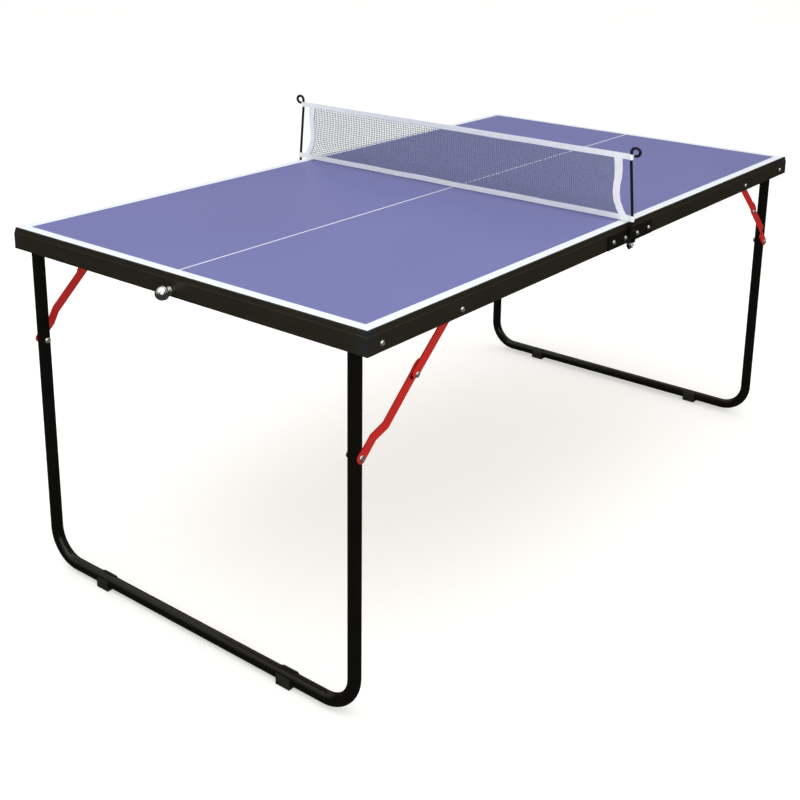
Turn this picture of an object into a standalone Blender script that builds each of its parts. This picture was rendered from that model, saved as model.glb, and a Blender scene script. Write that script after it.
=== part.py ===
"""Folding mid-size table tennis table: two hinged halves, folding leg frames with lock braces,
net and latch.

Run with: blender --background --python part.py
Units are metres, +Z is up, +X runs along the table and -Y is the near long side.
"""

import math

import bmesh
import bpy
from mathutils import Matrix, Vector

# Whole table. The knob reaches out past the left end, so the seam sits a little right of the
# middle of the box.
HALF_LENGTH = 0.760
HALF_WIDTH = 0.411
TOP = 0.660
KNOB_REACH = 0.028
SEAM = KNOB_REACH / 2
SEAM_HALF_GAP = 0.001
FIT = 0.0003

# Playing boards.
BOARD_THICKNESS = 0.015
BOARD_INSET = 0.0043
BOARD_EDGE_BEVEL = 0.0005

# Rail section: heights are below the playing surface, insets are in from the rail's outer face.
RAIL_DEPTH = 0.039
RAIL_WALL = 0.0025
RAIL_BAND_DEPTH = 0.010
RAIL_BAND_STEP = 0.0006
RAIL_LIP_DROP = 0.0004
RAIL_LEDGE_INSET = 0.012
RAIL_LEDGE_THICKNESS = 0.0015
RAIL_FLANGE_INSET = 0.007
RAIL_FLANGE_THICKNESS = 0.002
RAIL_SET_BACK = 0.0004
CAP_LENGTH = 0.022
CENTRE_RAIL_WIDTH = 0.012
CENTRE_RAIL_WALL = 0.002

# Leg frames.
LEG_INSET_X = 0.019
LEG_INSET_Y = 0.0394
LEG_RADIUS = 0.011
LEG_AXIS_DROP = 0.0285
LEG_BEND_RADIUS = 0.060
FLOOR_BAR_HEIGHT = 0.015
CROSSBAR_RADIUS = 0.0095
CLAMP_Y = 0.300
CLAMP_WIDTH = 0.020
CLAMP_WALL = 0.002
CLAMP_FLANGE = 0.022
FOOT_Y = 0.228
FOOT_LENGTH = 0.030
FOOT_WALL = 0.0018
FOOT_BASE = 0.026
FOOT_INNER_LIP = 80
FOOT_OUTER_LIP = 155
TUBE_SIDES = 24

# Lock braces: each lower link is pinned to a leg, each upper link to a side rail.
BRACE_LEG_DROP = 0.180
BRACE_RAIL_X = 0.533
LINK_WIDTH = 0.017
LINK_THICKNESS = 0.0025
LINK_OFFSET = 0.0045
UPPER_LINK_INSET = 0.0137
LOWER_LINK_INSET = 0.0165
LOWER_LINK_LEG_INSET = 0.0256
JOG_START = 0.036
JOG_LENGTH = 0.024
PIN_RADIUS = 0.003
LEG_PIN_HEAD = 0.0058
BUSH_RADIUS = 0.007

# Centre hinges.
HINGE_DROP = 0.045
LEAF_REACH = 0.084
LEAF_THICKNESS = 0.002
LEAF_TOP_DROP = 0.0115
LEAF_BOTTOM_DROP = 0.038
LEFT_LUG_RADIUS = 0.008
RIGHT_LUG_RADIUS = 0.0054
HINGE_PIN_RADIUS = 0.0025
HINGE_HEAD_RADIUS = 0.0048
HINGE_HEAD_HEIGHT = 0.0056

# Net.
NET_X = -0.008
NET_BOTTOM = 0.003
NET_TOP = 0.130
NET_HALF_THICKNESS = 0.0006
POST_OUTBOARD = 0.0076
POST_RADIUS = 0.0027
POST_SIDES = 10
POST_FOOT_DROP = 0.024
POST_STRAIGHT_TOP = 0.118
POST_LEAN = 0.010
POST_LEAN_START = 0.006
RING_HALF_WIDTH = 0.0088
RING_HALF_HEIGHT = 0.0075
RING_CENTRE_UP = 0.1345
RING_END = -108
SOCKET_HALF_WIDTH = 0.006
SOCKET_PLATE = 0.0015
SOCKET_TUBE_RADIUS = 0.0048
SOCKET_TOP_DROP = 0.004

# Latch on the end rails.
LATCH_DROP = 0.030
TONGUE_LENGTH = 0.032
TONGUE_CLEAR = 0.001
TONGUE_WIDTH = 0.010
TONGUE_THICKNESS = 0.0015

LEG_X = HALF_LENGTH - LEG_INSET_X
LEG_Y = HALF_WIDTH - LEG_INSET_Y
LEG_AXIS_Z = TOP - LEG_AXIS_DROP
LEG_PIN_Z = LEG_AXIS_Z - BRACE_LEG_DROP
FOLD_AXIS_Z = TOP - HINGE_DROP
BRACE_OPEN = math.hypot(LEG_X - BRACE_RAIL_X, BRACE_LEG_DROP)
BRACE_SHUT = BRACE_LEG_DROP - (LEG_X - BRACE_RAIL_X)
UPPER_LINK_LENGTH = (BRACE_OPEN - abs(BRACE_SHUT)) / 2
LOWER_LINK_LENGTH = (BRACE_OPEN + abs(BRACE_SHUT)) / 2

LEFT, RIGHT = -1, 1
NEAR, FAR = -1, 1
END_NAMES = {LEFT: "left", RIGHT: "right"}
SIDE_NAMES = {NEAR: "near", FAR: "far"}


def clear_scene():
    for obj in list(bpy.data.objects):
        bpy.data.objects.remove(obj, do_unlink=True)


def material(name, colour, roughness, metallic):
    found = bpy.data.materials.get(name)
    if found:
        return found
    made = bpy.data.materials.new(name)
    made.use_nodes = True
    shader = made.node_tree.nodes["Principled BSDF"]
    shader.inputs["Base Color"].default_value = (*colour, 1.0)
    shader.inputs["Roughness"].default_value = roughness
    shader.inputs["Metallic"].default_value = metallic
    made.diffuse_color = (*colour, 1.0)
    return made


def blue_paint():
    return material("blue_playing_surface", (0.17, 0.19, 0.46), 0.45, 0.0)


def black_rail():
    return material("black_rail", (0.022, 0.021, 0.017), 0.35, 0.0)


def black_tube_paint():
    return material("black_tube_paint", (0.010, 0.009, 0.008), 0.25, 0.0)


def black_plastic():
    return material("black_plastic", (0.018, 0.018, 0.018), 0.5, 0.0)


def black_steel():
    return material("black_steel", (0.015, 0.015, 0.015), 0.4, 0.0)


def red_paint():
    return material("red_paint", (0.55, 0.03, 0.02), 0.35, 0.0)


def zinc_steel():
    return material("zinc_steel", (0.60, 0.59, 0.55), 0.3, 1.0)


def chrome():
    return material("chrome", (0.80, 0.80, 0.78), 0.08, 1.0)


def white_net():
    return material("white_net", (0.85, 0.86, 0.88), 0.8, 0.0)


def joint_empty(name, place, parent=None):
    """An empty on a joint's axis, which carries the pieces that turn or slide about it."""
    empty = bpy.data.objects.new(name, None)
    empty.empty_display_size = 0.03
    bpy.context.scene.collection.objects.link(empty)
    empty["place"] = place
    empty.location = place
    if parent:
        empty.parent = parent
        empty.location = Vector(place) - Vector(parent["place"])
    return empty


def piece(name, bm, paint, carrier, smooth=False):
    """Turns world-space geometry into one named object whose origin is its carrier's."""
    bmesh.ops.remove_doubles(bm, verts=bm.verts, dist=1e-6)
    bmesh.ops.recalc_face_normals(bm, faces=bm.faces)
    bm.transform(Matrix.Translation(-Vector(carrier["place"])))
    mesh = bpy.data.meshes.new(name)
    bm.to_mesh(mesh)
    bm.free()
    mesh.materials.append(paint)
    obj = bpy.data.objects.new(name, mesh)
    bpy.context.scene.collection.objects.link(obj)
    obj.parent = carrier
    if smooth:
        mesh.shade_smooth()
        mesh.set_sharp_from_angle(angle=math.radians(35))
    return obj


def combine(obj, bm, operation):
    """Cuts world-space geometry out of a piece, or joins it on."""
    bmesh.ops.recalc_face_normals(bm, faces=bm.faces)
    bm.transform(Matrix.Translation(-Vector(obj.parent["place"])))
    mesh = bpy.data.meshes.new(obj.name + "_tool")
    bm.to_mesh(mesh)
    bm.free()
    tool = bpy.data.objects.new(obj.name + "_tool", mesh)
    bpy.context.scene.collection.objects.link(tool)
    tool.parent = obj.parent
    tool.hide_render = True
    tool.display_type = "WIRE"
    change = obj.modifiers.new(operation.lower(), "BOOLEAN")
    change.operation = operation
    change.solver = "EXACT"
    change.object = tool


def skin(bm, rings, closed_ends=True):
    """Joins rings of points, all with the same count, into a closed skin."""
    rows = [[bm.verts.new(point) for point in ring] for ring in rings]
    for one, other in zip(rows, rows[1:]):
        for i in range(len(one)):
            j = (i + 1) % len(one)
            bm.faces.new((one[i], one[j], other[j], other[i]))
    if closed_ends:
        bm.faces.new(rows[0])
        bm.faces.new(list(reversed(rows[-1])))
    return bm


def box(x0, x1, y0, y1, z0, z1):
    ring = [(x0, y0), (x1, y0), (x1, y1), (x0, y1)]
    return skin(bmesh.new(), [[(x, y, z) for x, y in ring] for z in (z0, z1)])


def along_x(outline, x0, x1):
    return skin(bmesh.new(), [[(x, y, z) for y, z in outline] for x in (x0, x1)])


def along_y(outline, y0, y1):
    return skin(bmesh.new(), [[(x, y, z) for x, z in outline] for y in (y0, y1)])


def arc(centre, radius, start, stop, steps):
    """Points on an arc in a plane, with angles in degrees."""
    turns = [math.radians(start + (stop - start) * i / steps) for i in range(steps + 1)]
    return [(centre[0] + radius * math.cos(t), centre[1] + radius * math.sin(t)) for t in turns]


def turned(centre, direction, profile, sides=20):
    """A round piece: profile lists (distance along direction, radius) from one end to the other."""
    direction = Vector(direction).normalized()
    across = direction.orthogonal().normalized()
    other = direction.cross(across)
    centre = Vector(centre)
    rings = []
    for along, radius in profile:
        middle = centre + direction * along
        turns = [2 * math.pi * i / sides for i in range(sides)]
        rings.append([middle + (across * math.cos(t) + other * math.sin(t)) * radius for t in turns])
    return skin(bmesh.new(), rings)


def dome(start, height, radius, tip, steps=3):
    """Profile points of a domed head that ends in a small flat."""
    points = []
    for i in range(steps + 1):
        t = math.pi / 2 * i / steps
        points.append((start + height * math.sin(t), tip + (radius - tip) * math.cos(t)))
    return points


def swept(path, radii, normal, sides):
    """A round bar along a path that lies in the plane with this normal."""
    normal = Vector(normal)
    path = [Vector(point) for point in path]
    rings = []
    for i, point in enumerate(path):
        ahead = path[min(i + 1, len(path) - 1)] - path[max(i - 1, 0)]
        across = ahead.normalized().cross(normal)
        turns = [2 * math.pi * k / sides for k in range(sides)]
        rings.append([point + (across * math.cos(t) + normal * math.sin(t)) * radii[i] for t in turns])
    return skin(bmesh.new(), rings)


def rail_outline(set_back=0.0):
    """The rail's section as (inset, depth below the playing surface)."""
    ledge = BOARD_THICKNESS + FIT
    inner = BOARD_INSET - FIT
    return [
        (set_back, -RAIL_DEPTH),
        (set_back, -RAIL_BAND_DEPTH),
        (set_back + RAIL_BAND_STEP, -RAIL_BAND_DEPTH + RAIL_BAND_STEP),
        (set_back + 0.0020, -0.0014),
        (set_back + 0.0030, -RAIL_LIP_DROP),
        (inner, -RAIL_LIP_DROP),
        (inner, -ledge),
        (RAIL_LEDGE_INSET, -ledge),
        (RAIL_LEDGE_INSET, -ledge - RAIL_LEDGE_THICKNESS),
        (set_back + RAIL_WALL, -ledge - RAIL_LEDGE_THICKNESS),
        (set_back + RAIL_WALL, -RAIL_DEPTH + RAIL_FLANGE_THICKNESS),
        (RAIL_FLANGE_INSET, -RAIL_DEPTH + RAIL_FLANGE_THICKNESS),
        (RAIL_FLANGE_INSET, -RAIL_DEPTH),
    ]


def playing_board(end, carrier):
    inner = SEAM + end * SEAM_HALF_GAP
    outer = SEAM + end * (HALF_LENGTH - BOARD_INSET)
    half = HALF_WIDTH - BOARD_INSET
    bm = box(min(inner, outer), max(inner, outer), -half, half, TOP - BOARD_THICKNESS, TOP)
    made = piece(f"{END_NAMES[end]}_playing_board", bm, blue_paint(), carrier)
    soften = made.modifiers.new("soften", "BEVEL")
    soften.width = BOARD_EDGE_BEVEL
    soften.segments = 1


def side_rail(end, side, carrier):
    x0 = SEAM + end * (SEAM_HALF_GAP + 0.0005)
    x1 = SEAM + end * (HALF_LENGTH - CAP_LENGTH - FIT)
    outline = [(side * (HALF_WIDTH - inset), TOP + drop) for inset, drop in rail_outline(RAIL_SET_BACK)]
    name = f"{END_NAMES[end]}_{SIDE_NAMES[side]}_side_rail"
    piece(name, along_x(outline, x0, x1), black_rail(), carrier)


def end_rail(end, carrier):
    reach = HALF_WIDTH - CAP_LENGTH - FIT
    outline = [(SEAM + end * (HALF_LENGTH - inset), TOP + drop)
               for inset, drop in rail_outline(RAIL_SET_BACK)]
    made = piece(f"{END_NAMES[end]}_end_rail", along_y(outline, -reach, reach), black_rail(), carrier)
    # The latch tongue swings down through a notch in the bottom flange.
    wall = HALF_LENGTH - RAIL_SET_BACK - RAIL_WALL - 0.0001
    xs = sorted((SEAM + end * (HALF_LENGTH - RAIL_FLANGE_INSET - 0.002), SEAM + end * wall))
    z0 = TOP - RAIL_DEPTH
    combine(made, box(*xs, -0.008, TONGUE_LENGTH + 0.002, z0 - 0.001, z0 + 0.004), "DIFFERENCE")
    if end == LEFT:
        start = (SEAM - HALF_LENGTH - 0.005, 0, TOP - LATCH_DROP)
        hole = turned(start, (1, 0, 0), [(0, PIN_RADIUS + FIT), (0.012, PIN_RADIUS + FIT)])
        combine(made, hole, "DIFFERENCE")


def corner_cap(end, side, carrier):
    """The moulded corner: the rail's section carried round the corner on a mitre."""
    corner_x = SEAM + end * HALF_LENGTH
    corner_y = side * HALF_WIDTH
    section = rail_outline()
    rings = [
        [(corner_x - end * CAP_LENGTH, corner_y - side * inset, TOP + drop) for inset, drop in section],
        [(corner_x - end * inset, corner_y - side * inset, TOP + drop) for inset, drop in section],
        [(corner_x - end * inset, corner_y - side * CAP_LENGTH, TOP + drop) for inset, drop in section],
    ]
    name = f"{END_NAMES[end]}_{SIDE_NAMES[side]}_corner_cap"
    piece(name, skin(bmesh.new(), rings), black_plastic(), carrier)


def centre_rail(end, carrier):
    """The cross rail under each board's inner edge."""
    near = SEAM_HALF_GAP + 0.0005
    top = -BOARD_THICKNESS - FIT
    outline = [
        (near, -RAIL_DEPTH),
        (near, top),
        (near + CENTRE_RAIL_WIDTH, top),
        (near + CENTRE_RAIL_WIDTH, top - CENTRE_RAIL_WALL),
        (near + CENTRE_RAIL_WALL, top - CENTRE_RAIL_WALL),
        (near + CENTRE_RAIL_WALL, -RAIL_DEPTH + CENTRE_RAIL_WALL),
        (near + CENTRE_RAIL_WIDTH, -RAIL_DEPTH + CENTRE_RAIL_WALL),
        (near + CENTRE_RAIL_WIDTH, -RAIL_DEPTH),
    ]
    reach = HALF_WIDTH - RAIL_LEDGE_INSET - 2 * FIT
    outline = [(SEAM + end * across, TOP + drop) for across, drop in outline]
    piece(f"{END_NAMES[end]}_centre_rail", along_y(outline, -reach, reach), black_rail(), carrier)


def leg_path():
    """The U frame's centre line as (y, z, radius), from the far top round the floor bar to the near top."""
    points = []
    for i in range(5):
        t = math.radians(80 - 20 * i)
        points.append((LEG_Y, LEG_AXIS_Z + LEG_RADIUS * math.sin(t), LEG_RADIUS * math.cos(t)))
    bend_y = LEG_Y - LEG_BEND_RADIUS
    bend_z = FLOOR_BAR_HEIGHT + LEG_BEND_RADIUS
    for y, z in arc((bend_y, bend_z), LEG_BEND_RADIUS, 0, -90, 10):
        points.append((y, z, LEG_RADIUS))
    return points + [(-y, z, radius) for y, z, radius in reversed(points)]


def leg_frame(end, carrier):
    x = SEAM + end * LEG_X
    path = leg_path()
    bm = swept([(x, y, z) for y, z, _ in path], [r for _, _, r in path], (1, 0, 0), TUBE_SIDES)
    made = piece(f"{END_NAMES[end]}_leg_frame", bm, black_tube_paint(), carrier, smooth=True)
    for side in (NEAR, FAR):
        start = (x, side * (LEG_Y + 0.02), LEG_PIN_Z)
        hole = turned(start, (0, -side, 0), [(0, PIN_RADIUS + FIT), (0.04, PIN_RADIUS + FIT)], 12)
        combine(made, hole, "DIFFERENCE")


def leg_crossbar(end, carrier):
    """The round bar across the top of a leg frame, which turns in the clamps."""
    reach = LEG_Y - LEG_RADIUS - FIT
    start = (SEAM + end * LEG_X, -reach, LEG_AXIS_Z)
    profile = [(0, CROSSBAR_RADIUS), (2 * reach, CROSSBAR_RADIUS)]
    bm = turned(start, (0, 1, 0), profile, TUBE_SIDES)
    piece(f"{END_NAMES[end]}_leg_crossbar", bm, black_tube_paint(), carrier, smooth=True)


def leg_clamp(end, side, carrier):
    """A bent strap that holds the crossbar up against the board."""
    inner = CROSSBAR_RADIUS + 0.0004
    outer = inner + CLAMP_WALL
    top = LEG_AXIS_DROP - BOARD_THICKNESS - FIT
    outline = arc((0, 0), outer, 20, -180, 14)
    outline += [(-outer, top - CLAMP_WALL), (-outer - CLAMP_FLANGE, top - CLAMP_WALL)]
    outline += [(-outer - CLAMP_FLANGE, top), (-inner, top)]
    outline += arc((0, 0), inner, -180, 20, 14)
    outline = [(SEAM + end * (LEG_X + across), LEG_AXIS_Z + up) for across, up in outline]
    y0 = side * CLAMP_Y - CLAMP_WIDTH / 2
    name = f"{END_NAMES[end]}_{SIDE_NAMES[side]}_leg_clamp"
    piece(name, along_y(outline, y0, y0 + CLAMP_WIDTH), zinc_steel(), carrier)


def foot(end, side, carrier):
    """A moulded pad that snaps up round the floor bar and leaves its outer shoulder bare."""
    x = SEAM + end * LEG_X
    inner = LEG_RADIUS + FIT
    outer = inner + FOOT_WALL
    outline = arc((0, 0), outer, FOOT_INNER_LIP, 0, 6)
    outline += [(FOOT_BASE / 2, -FLOOR_BAR_HEIGHT), (-FOOT_BASE / 2, -FLOOR_BAR_HEIGHT)]
    outline += arc((0, 0), outer, 185, FOOT_OUTER_LIP, 4)
    outline += arc((0, 0), inner, FOOT_OUTER_LIP, 360 + FOOT_INNER_LIP, 20)
    outline = [(x - end * across, FLOOR_BAR_HEIGHT + up) for across, up in outline]
    y0 = side * FOOT_Y - FOOT_LENGTH / 2
    name = f"{END_NAMES[end]}_{SIDE_NAMES[side]}_foot"
    piece(name, along_y(outline, y0, y0 + FOOT_LENGTH), black_plastic(), carrier)


def link_rings(length, start, along, across, stations):
    """Rings of a flat link: a rounded strip that can shift sideways and inwards along its length."""
    half = LINK_WIDTH / 2
    rings = []
    for distance, inset, offset in stations:
        beyond = max(-distance, distance - length, 0)
        wide = math.sqrt(max(half * half - beyond * beyond, (half * 0.35) ** 2))
        middle = Vector(start) + along * distance + across * offset
        ring = []
        for edge, deep in ((-wide, 0), (wide, 0), (wide, 1), (-wide, 1)):
            point = middle + across * edge
            point.y = inset + deep * LINK_THICKNESS
            ring.append(point)
        rings.append(ring)
    return rings


def link_stations(length, inset_at, offset_at):
    """Where a link's rings stand, with insets and sideways offsets. The last ones round off its ends."""
    half = LINK_WIDTH / 2
    tips = [half * t for t in (0.937, 0.85, 0.7, 0.5, 0.25)]
    distances = [-t for t in tips] + [0] + [JOG_START, JOG_START + JOG_LENGTH]
    distances += [length] + [length + t for t in reversed(tips)]
    return [(distance, inset_at(distance), offset_at(distance)) for distance in sorted(distances)]


def flat_link(name, end, side, start, along, stations, length, carrier):
    up = brace_direction(end)
    across = Vector((end * up.z, 0, -end * up.x))
    rings = link_rings(length, start, along, across, stations)
    for ring in rings:
        for point in ring:
            point.y = side * (HALF_WIDTH - point.y)
    return piece(name, skin(bmesh.new(), rings), red_paint(), carrier)


def link_hole(made, x, side, z, inset):
    """Cuts the hole that a link turns on."""
    start = (x, side * (HALF_WIDTH - inset + 0.01), z)
    profile = [(0, PIN_RADIUS + FIT), (0.02 + LINK_THICKNESS, PIN_RADIUS + FIT)]
    combine(made, turned(start, (0, -side, 0), profile, 16), "DIFFERENCE")


def brace_direction(end):
    """The unit vector up a locked brace, from the leg pin to the rail pivot."""
    return Vector((-end * (LEG_X - BRACE_RAIL_X), 0, BRACE_LEG_DROP)) / BRACE_OPEN


def upper_link(end, side, carrier):
    """The plain link that hangs from the side rail, with both pivots near its lower edge."""
    x = SEAM + end * BRACE_RAIL_X
    name = f"{END_NAMES[end]}_{SIDE_NAMES[side]}_upper_brace_link"
    stations = link_stations(UPPER_LINK_LENGTH, lambda _: UPPER_LINK_INSET, lambda _: LINK_OFFSET)
    down = -brace_direction(end)
    made = flat_link(name, end, side, (x, 0, LEG_AXIS_Z), down, stations, UPPER_LINK_LENGTH, carrier)
    link_hole(made, x, side, LEG_AXIS_Z, UPPER_LINK_INSET)


def lower_link_inset(distance):
    """The lower link jogs out from the leg's plane to the rail's."""
    share = min(max((distance - JOG_START) / JOG_LENGTH, 0.0), 1.0)
    return LOWER_LINK_LEG_INSET + share * (LOWER_LINK_INSET - LOWER_LINK_LEG_INSET)


def lower_link(end, side, carrier):
    """The cranked link on the leg, which drifts off the line of the pivots towards the joint."""
    x = SEAM + end * LEG_X
    name = f"{END_NAMES[end]}_{SIDE_NAMES[side]}_lower_brace_link"
    drift = LINK_OFFSET / LOWER_LINK_LENGTH
    stations = link_stations(LOWER_LINK_LENGTH, lower_link_inset, lambda distance: drift * distance)
    along = brace_direction(end)
    made = flat_link(name, end, side, (x, 0, LEG_PIN_Z), along, stations, LOWER_LINK_LENGTH, carrier)
    link_hole(made, x, side, LEG_PIN_Z, LOWER_LINK_LEG_INSET)


def brace_bracket(end, side, carrier):
    """The bush inside the side rail, with the pivot that the upper link turns on."""
    inset = RAIL_SET_BACK + RAIL_WALL + FIT
    start = (SEAM + end * BRACE_RAIL_X, side * (HALF_WIDTH - inset), LEG_AXIS_Z)
    bush = UPPER_LINK_INSET - FIT - inset
    profile = [(0, BUSH_RADIUS), (bush, BUSH_RADIUS), (bush, PIN_RADIUS)]
    profile += [(bush + FIT + LINK_THICKNESS, PIN_RADIUS)]
    name = f"{END_NAMES[end]}_{SIDE_NAMES[side]}_brace_bracket"
    piece(name, turned(start, (0, -side, 0), profile), zinc_steel(), carrier, smooth=True)


def leg_pin(end, side, carrier):
    """The domed pin through the leg that the lower link turns on."""
    outer_face = HALF_WIDTH - LOWER_LINK_LEG_INSET + FIT
    inner_face = LEG_Y - LEG_RADIUS - FIT
    span = outer_face - inner_face
    outer = [(-along, radius) for along, radius in reversed(dome(0, 0.0028, LEG_PIN_HEAD, 0.001))]
    inner = dome(span, 0.0036, LEG_PIN_HEAD, 0.001)
    profile = outer + [(0, PIN_RADIUS), (span, PIN_RADIUS)] + inner
    start = (SEAM + end * LEG_X, side * outer_face, LEG_PIN_Z)
    name = f"{END_NAMES[end]}_{SIDE_NAMES[side]}_leg_pin"
    piece(name, turned(start, (0, -side, 0), profile, 16), zinc_steel(), carrier, smooth=True)


def left_leaf(side, carrier):
    """The outer hinge leaf, whose drop-shaped lug hangs below the rail."""
    drop = HINGE_DROP
    inner_edge = -0.0025
    outline = [(-LEAF_REACH, -LEAF_TOP_DROP), (inner_edge, -LEAF_TOP_DROP), (inner_edge, -0.033)]
    outline += arc((0, -drop), LEFT_LUG_RADIUS, 20, -200, 14)
    outline += [(-0.014, -LEAF_BOTTOM_DROP), (-LEAF_REACH, -LEAF_BOTTOM_DROP)]
    outline = [(SEAM + x, TOP + z) for x, z in outline]
    y0 = side * (HALF_WIDTH + FIT)
    bm = along_y(outline, y0, y0 + side * LEAF_THICKNESS)
    made = piece(f"left_{SIDE_NAMES[side]}_hinge_leaf", bm, black_steel(), carrier)
    hinge_hole(made, side)


def right_leaf(side, carrier):
    """The leaf on the folding half: its lug steps in under the rail, behind the left leaf's."""
    y0 = side * (HALF_WIDTH + FIT)
    y1 = y0 + side * LEAF_THICKNESS
    inner = side * (HALF_WIDTH - RAIL_SET_BACK)
    inmost = inner - side * LEAF_THICKNESS
    outline = [(0.009, -LEAF_TOP_DROP), (LEAF_REACH, -LEAF_TOP_DROP), (LEAF_REACH, -LEAF_BOTTOM_DROP)]
    outline += [(0.020, -LEAF_BOTTOM_DROP), (0.020, -0.043), (0.0095, -0.043)]
    outline = [(SEAM + x, TOP + z) for x, z in outline]
    made = piece(f"right_{SIDE_NAMES[side]}_hinge_leaf", along_y(outline, y0, y1), black_steel(), carrier)
    ys = sorted((y1 - side * 0.0004, inmost + side * 0.0002))
    step = box(SEAM + 0.0105, SEAM + 0.0195, *ys, TOP - 0.0427, TOP - RAIL_DEPTH - 0.0004)
    combine(made, step, "UNION")
    lug = arc((0, -HINGE_DROP), RIGHT_LUG_RADIUS, 80, 280, 10) + [(0.0192, -0.0435), (0.0192, -0.0396)]
    lug = [(SEAM + x, TOP + z) for x, z in lug]
    combine(made, along_y(lug, inner, inmost), "UNION")
    hinge_hole(made, side)


def hinge_hole(made, side):
    """Cuts the hole in a hinge leaf's lug."""
    start = (SEAM, side * (HALF_WIDTH + 0.01), FOLD_AXIS_Z)
    radius = HINGE_PIN_RADIUS + FIT
    combine(made, turned(start, (0, -side, 0), [(0, radius), (0.02, radius)], 16), "DIFFERENCE")


def hinge_pin(side, carrier):
    """The rivet that both leaves turn on, with a deep outer head."""
    outer = HALF_WIDTH + FIT + LEAF_THICKNESS + FIT
    inner = HALF_WIDTH - RAIL_SET_BACK - LEAF_THICKNESS - FIT
    span = outer - inner
    rounded = [(-HINGE_HEAD_HEIGHT, 0.62), (0.0008 - HINGE_HEAD_HEIGHT, 0.88),
               (0.0020 - HINGE_HEAD_HEIGHT, 1), (0, 1)]
    profile = [(along, HINGE_HEAD_RADIUS * share) for along, share in rounded]
    profile += [(0, HINGE_PIN_RADIUS), (span, HINGE_PIN_RADIUS), *dome(span, 0.0015, 0.004, 0.001)]
    pin = turned((SEAM, side * outer, FOLD_AXIS_Z), (0, -side, 0), profile, 16)
    piece(f"{SIDE_NAMES[side]}_hinge_pin", pin, zinc_steel(), carrier, smooth=True)


def net_socket(side, carrier):
    """The bracket over the left leaf whose short tube holds a net post."""
    x = SEAM + NET_X
    y0 = HALF_WIDTH + 2 * FIT + LEAF_THICKNESS
    ys = sorted((side * y0, side * (y0 + SOCKET_PLATE)))
    z0, z1 = TOP - POST_FOOT_DROP - SOCKET_TOP_DROP, TOP - SOCKET_TOP_DROP
    height = z1 - z0
    name = f"{SIDE_NAMES[side]}_net_socket"
    plate = box(x - SOCKET_HALF_WIDTH, x + SOCKET_HALF_WIDTH, *ys, z0, z1)
    made = piece(name, plate, black_steel(), carrier)
    centre = (x, side * (HALF_WIDTH + POST_OUTBOARD), z0)
    tube = [(0, SOCKET_TUBE_RADIUS), (height - 0.0005, SOCKET_TUBE_RADIUS)]
    combine(made, turned(centre, (0, 0, 1), tube), "UNION")
    bore = POST_RADIUS + FIT
    combine(made, turned(centre, (0, 0, 1), [(-0.005, bore), (height + 0.005, bore)], 16), "DIFFERENCE")


def post_lean(up):
    """How far the taut net pulls a post inwards at a height above the playing surface."""
    share = (up - POST_LEAN_START) / (POST_STRAIGHT_TOP - POST_LEAN_START)
    return POST_LEAN * min(max(share, 0.0), 1.0)


def net_post(side, carrier):
    """A wire post whose top curls outwards into a ring."""
    points = [(0, -POST_FOOT_DROP), (0, POST_LEAN_START), (0, POST_STRAIGHT_TOP)]
    for across, up in arc((0, 0), 1, 180, RING_END, 16):
        points.append((RING_HALF_WIDTH * (1 + across), RING_CENTRE_UP + RING_HALF_HEIGHT * up))
    points = [(out - post_lean(up), up) for out, up in points]
    x = SEAM + NET_X
    path = [(x, side * (HALF_WIDTH + POST_OUTBOARD + out), TOP + up) for out, up in points]
    bm = swept(path, [POST_RADIUS] * len(path), (1, 0, 0), POST_SIDES)
    piece(f"{SIDE_NAMES[side]}_net_post", bm, black_steel(), carrier, smooth=True)


def net(carrier):
    x = SEAM + NET_X
    reach = HALF_WIDTH + POST_OUTBOARD - POST_RADIUS - 0.0005
    outline = []
    heights = (NET_TOP, POST_STRAIGHT_TOP, POST_LEAN_START, NET_BOTTOM)
    for side, order in ((NEAR, heights), (FAR, heights[::-1])):
        outline += [(side * (reach - post_lean(up)), TOP + up) for up in order]
    bm = along_x(outline, x - NET_HALF_THICKNESS, x + NET_HALF_THICKNESS)
    piece("net", bm, white_net(), carrier)


def latch_knob(carrier):
    """The mushroom knob, its stepped collar and the stem through the left end rail."""
    face = SEAM - HALF_LENGTH + RAIL_SET_BACK
    reach = KNOB_REACH + RAIL_SET_BACK
    stem = RAIL_WALL + FIT
    profile = [(-stem - 0.003, PIN_RADIUS), (FIT, PIN_RADIUS), (FIT, 0.0085), (0.0025, 0.0085)]
    profile += [(0.0025, 0.007), (0.0045, 0.007), (0.0055, 0.005), (0.0085, 0.005)]
    profile += [(0.0100, 0.0105), (0.0125, 0.0117), (0.0160, 0.0120), (0.0190, 0.0114)]
    profile += [(0.0225, 0.0097), (0.0255, 0.0070), (reach - 0.0006, 0.0035), (reach, 0.0008)]
    bm = turned((face, 0, TOP - LATCH_DROP), (-1, 0, 0), profile, TUBE_SIDES)
    piece("latch_knob", bm, chrome(), carrier, smooth=True)


def latch_tongue(carrier):
    """The hooked plate on the knob's stem, inside the end rail."""
    half = TONGUE_WIDTH / 2
    reach = TONGUE_LENGTH
    outline = arc((0, 0), half, 90, 270, 10)
    outline += [(reach - 0.0085, -half), (reach - 0.0085, 0.001)]
    outline += [(reach - 0.002, 0.001), (reach - 0.002, -half)]
    outline += [(reach, -half), (reach, half - 0.002), (reach - 0.002, half)]
    x0 = SEAM - HALF_LENGTH + RAIL_SET_BACK + RAIL_WALL + TONGUE_CLEAR
    outline = [(y, TOP - LATCH_DROP + z) for y, z in outline]
    made = piece("latch_tongue", along_x(outline, x0, x0 + TONGUE_THICKNESS), zinc_steel(), carrier)
    hole = [(0, PIN_RADIUS + FIT), (0.02, PIN_RADIUS + FIT)]
    combine(made, turned((x0 - 0.01, 0, TOP - LATCH_DROP), (1, 0, 0), hole, 16), "DIFFERENCE")


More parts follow.
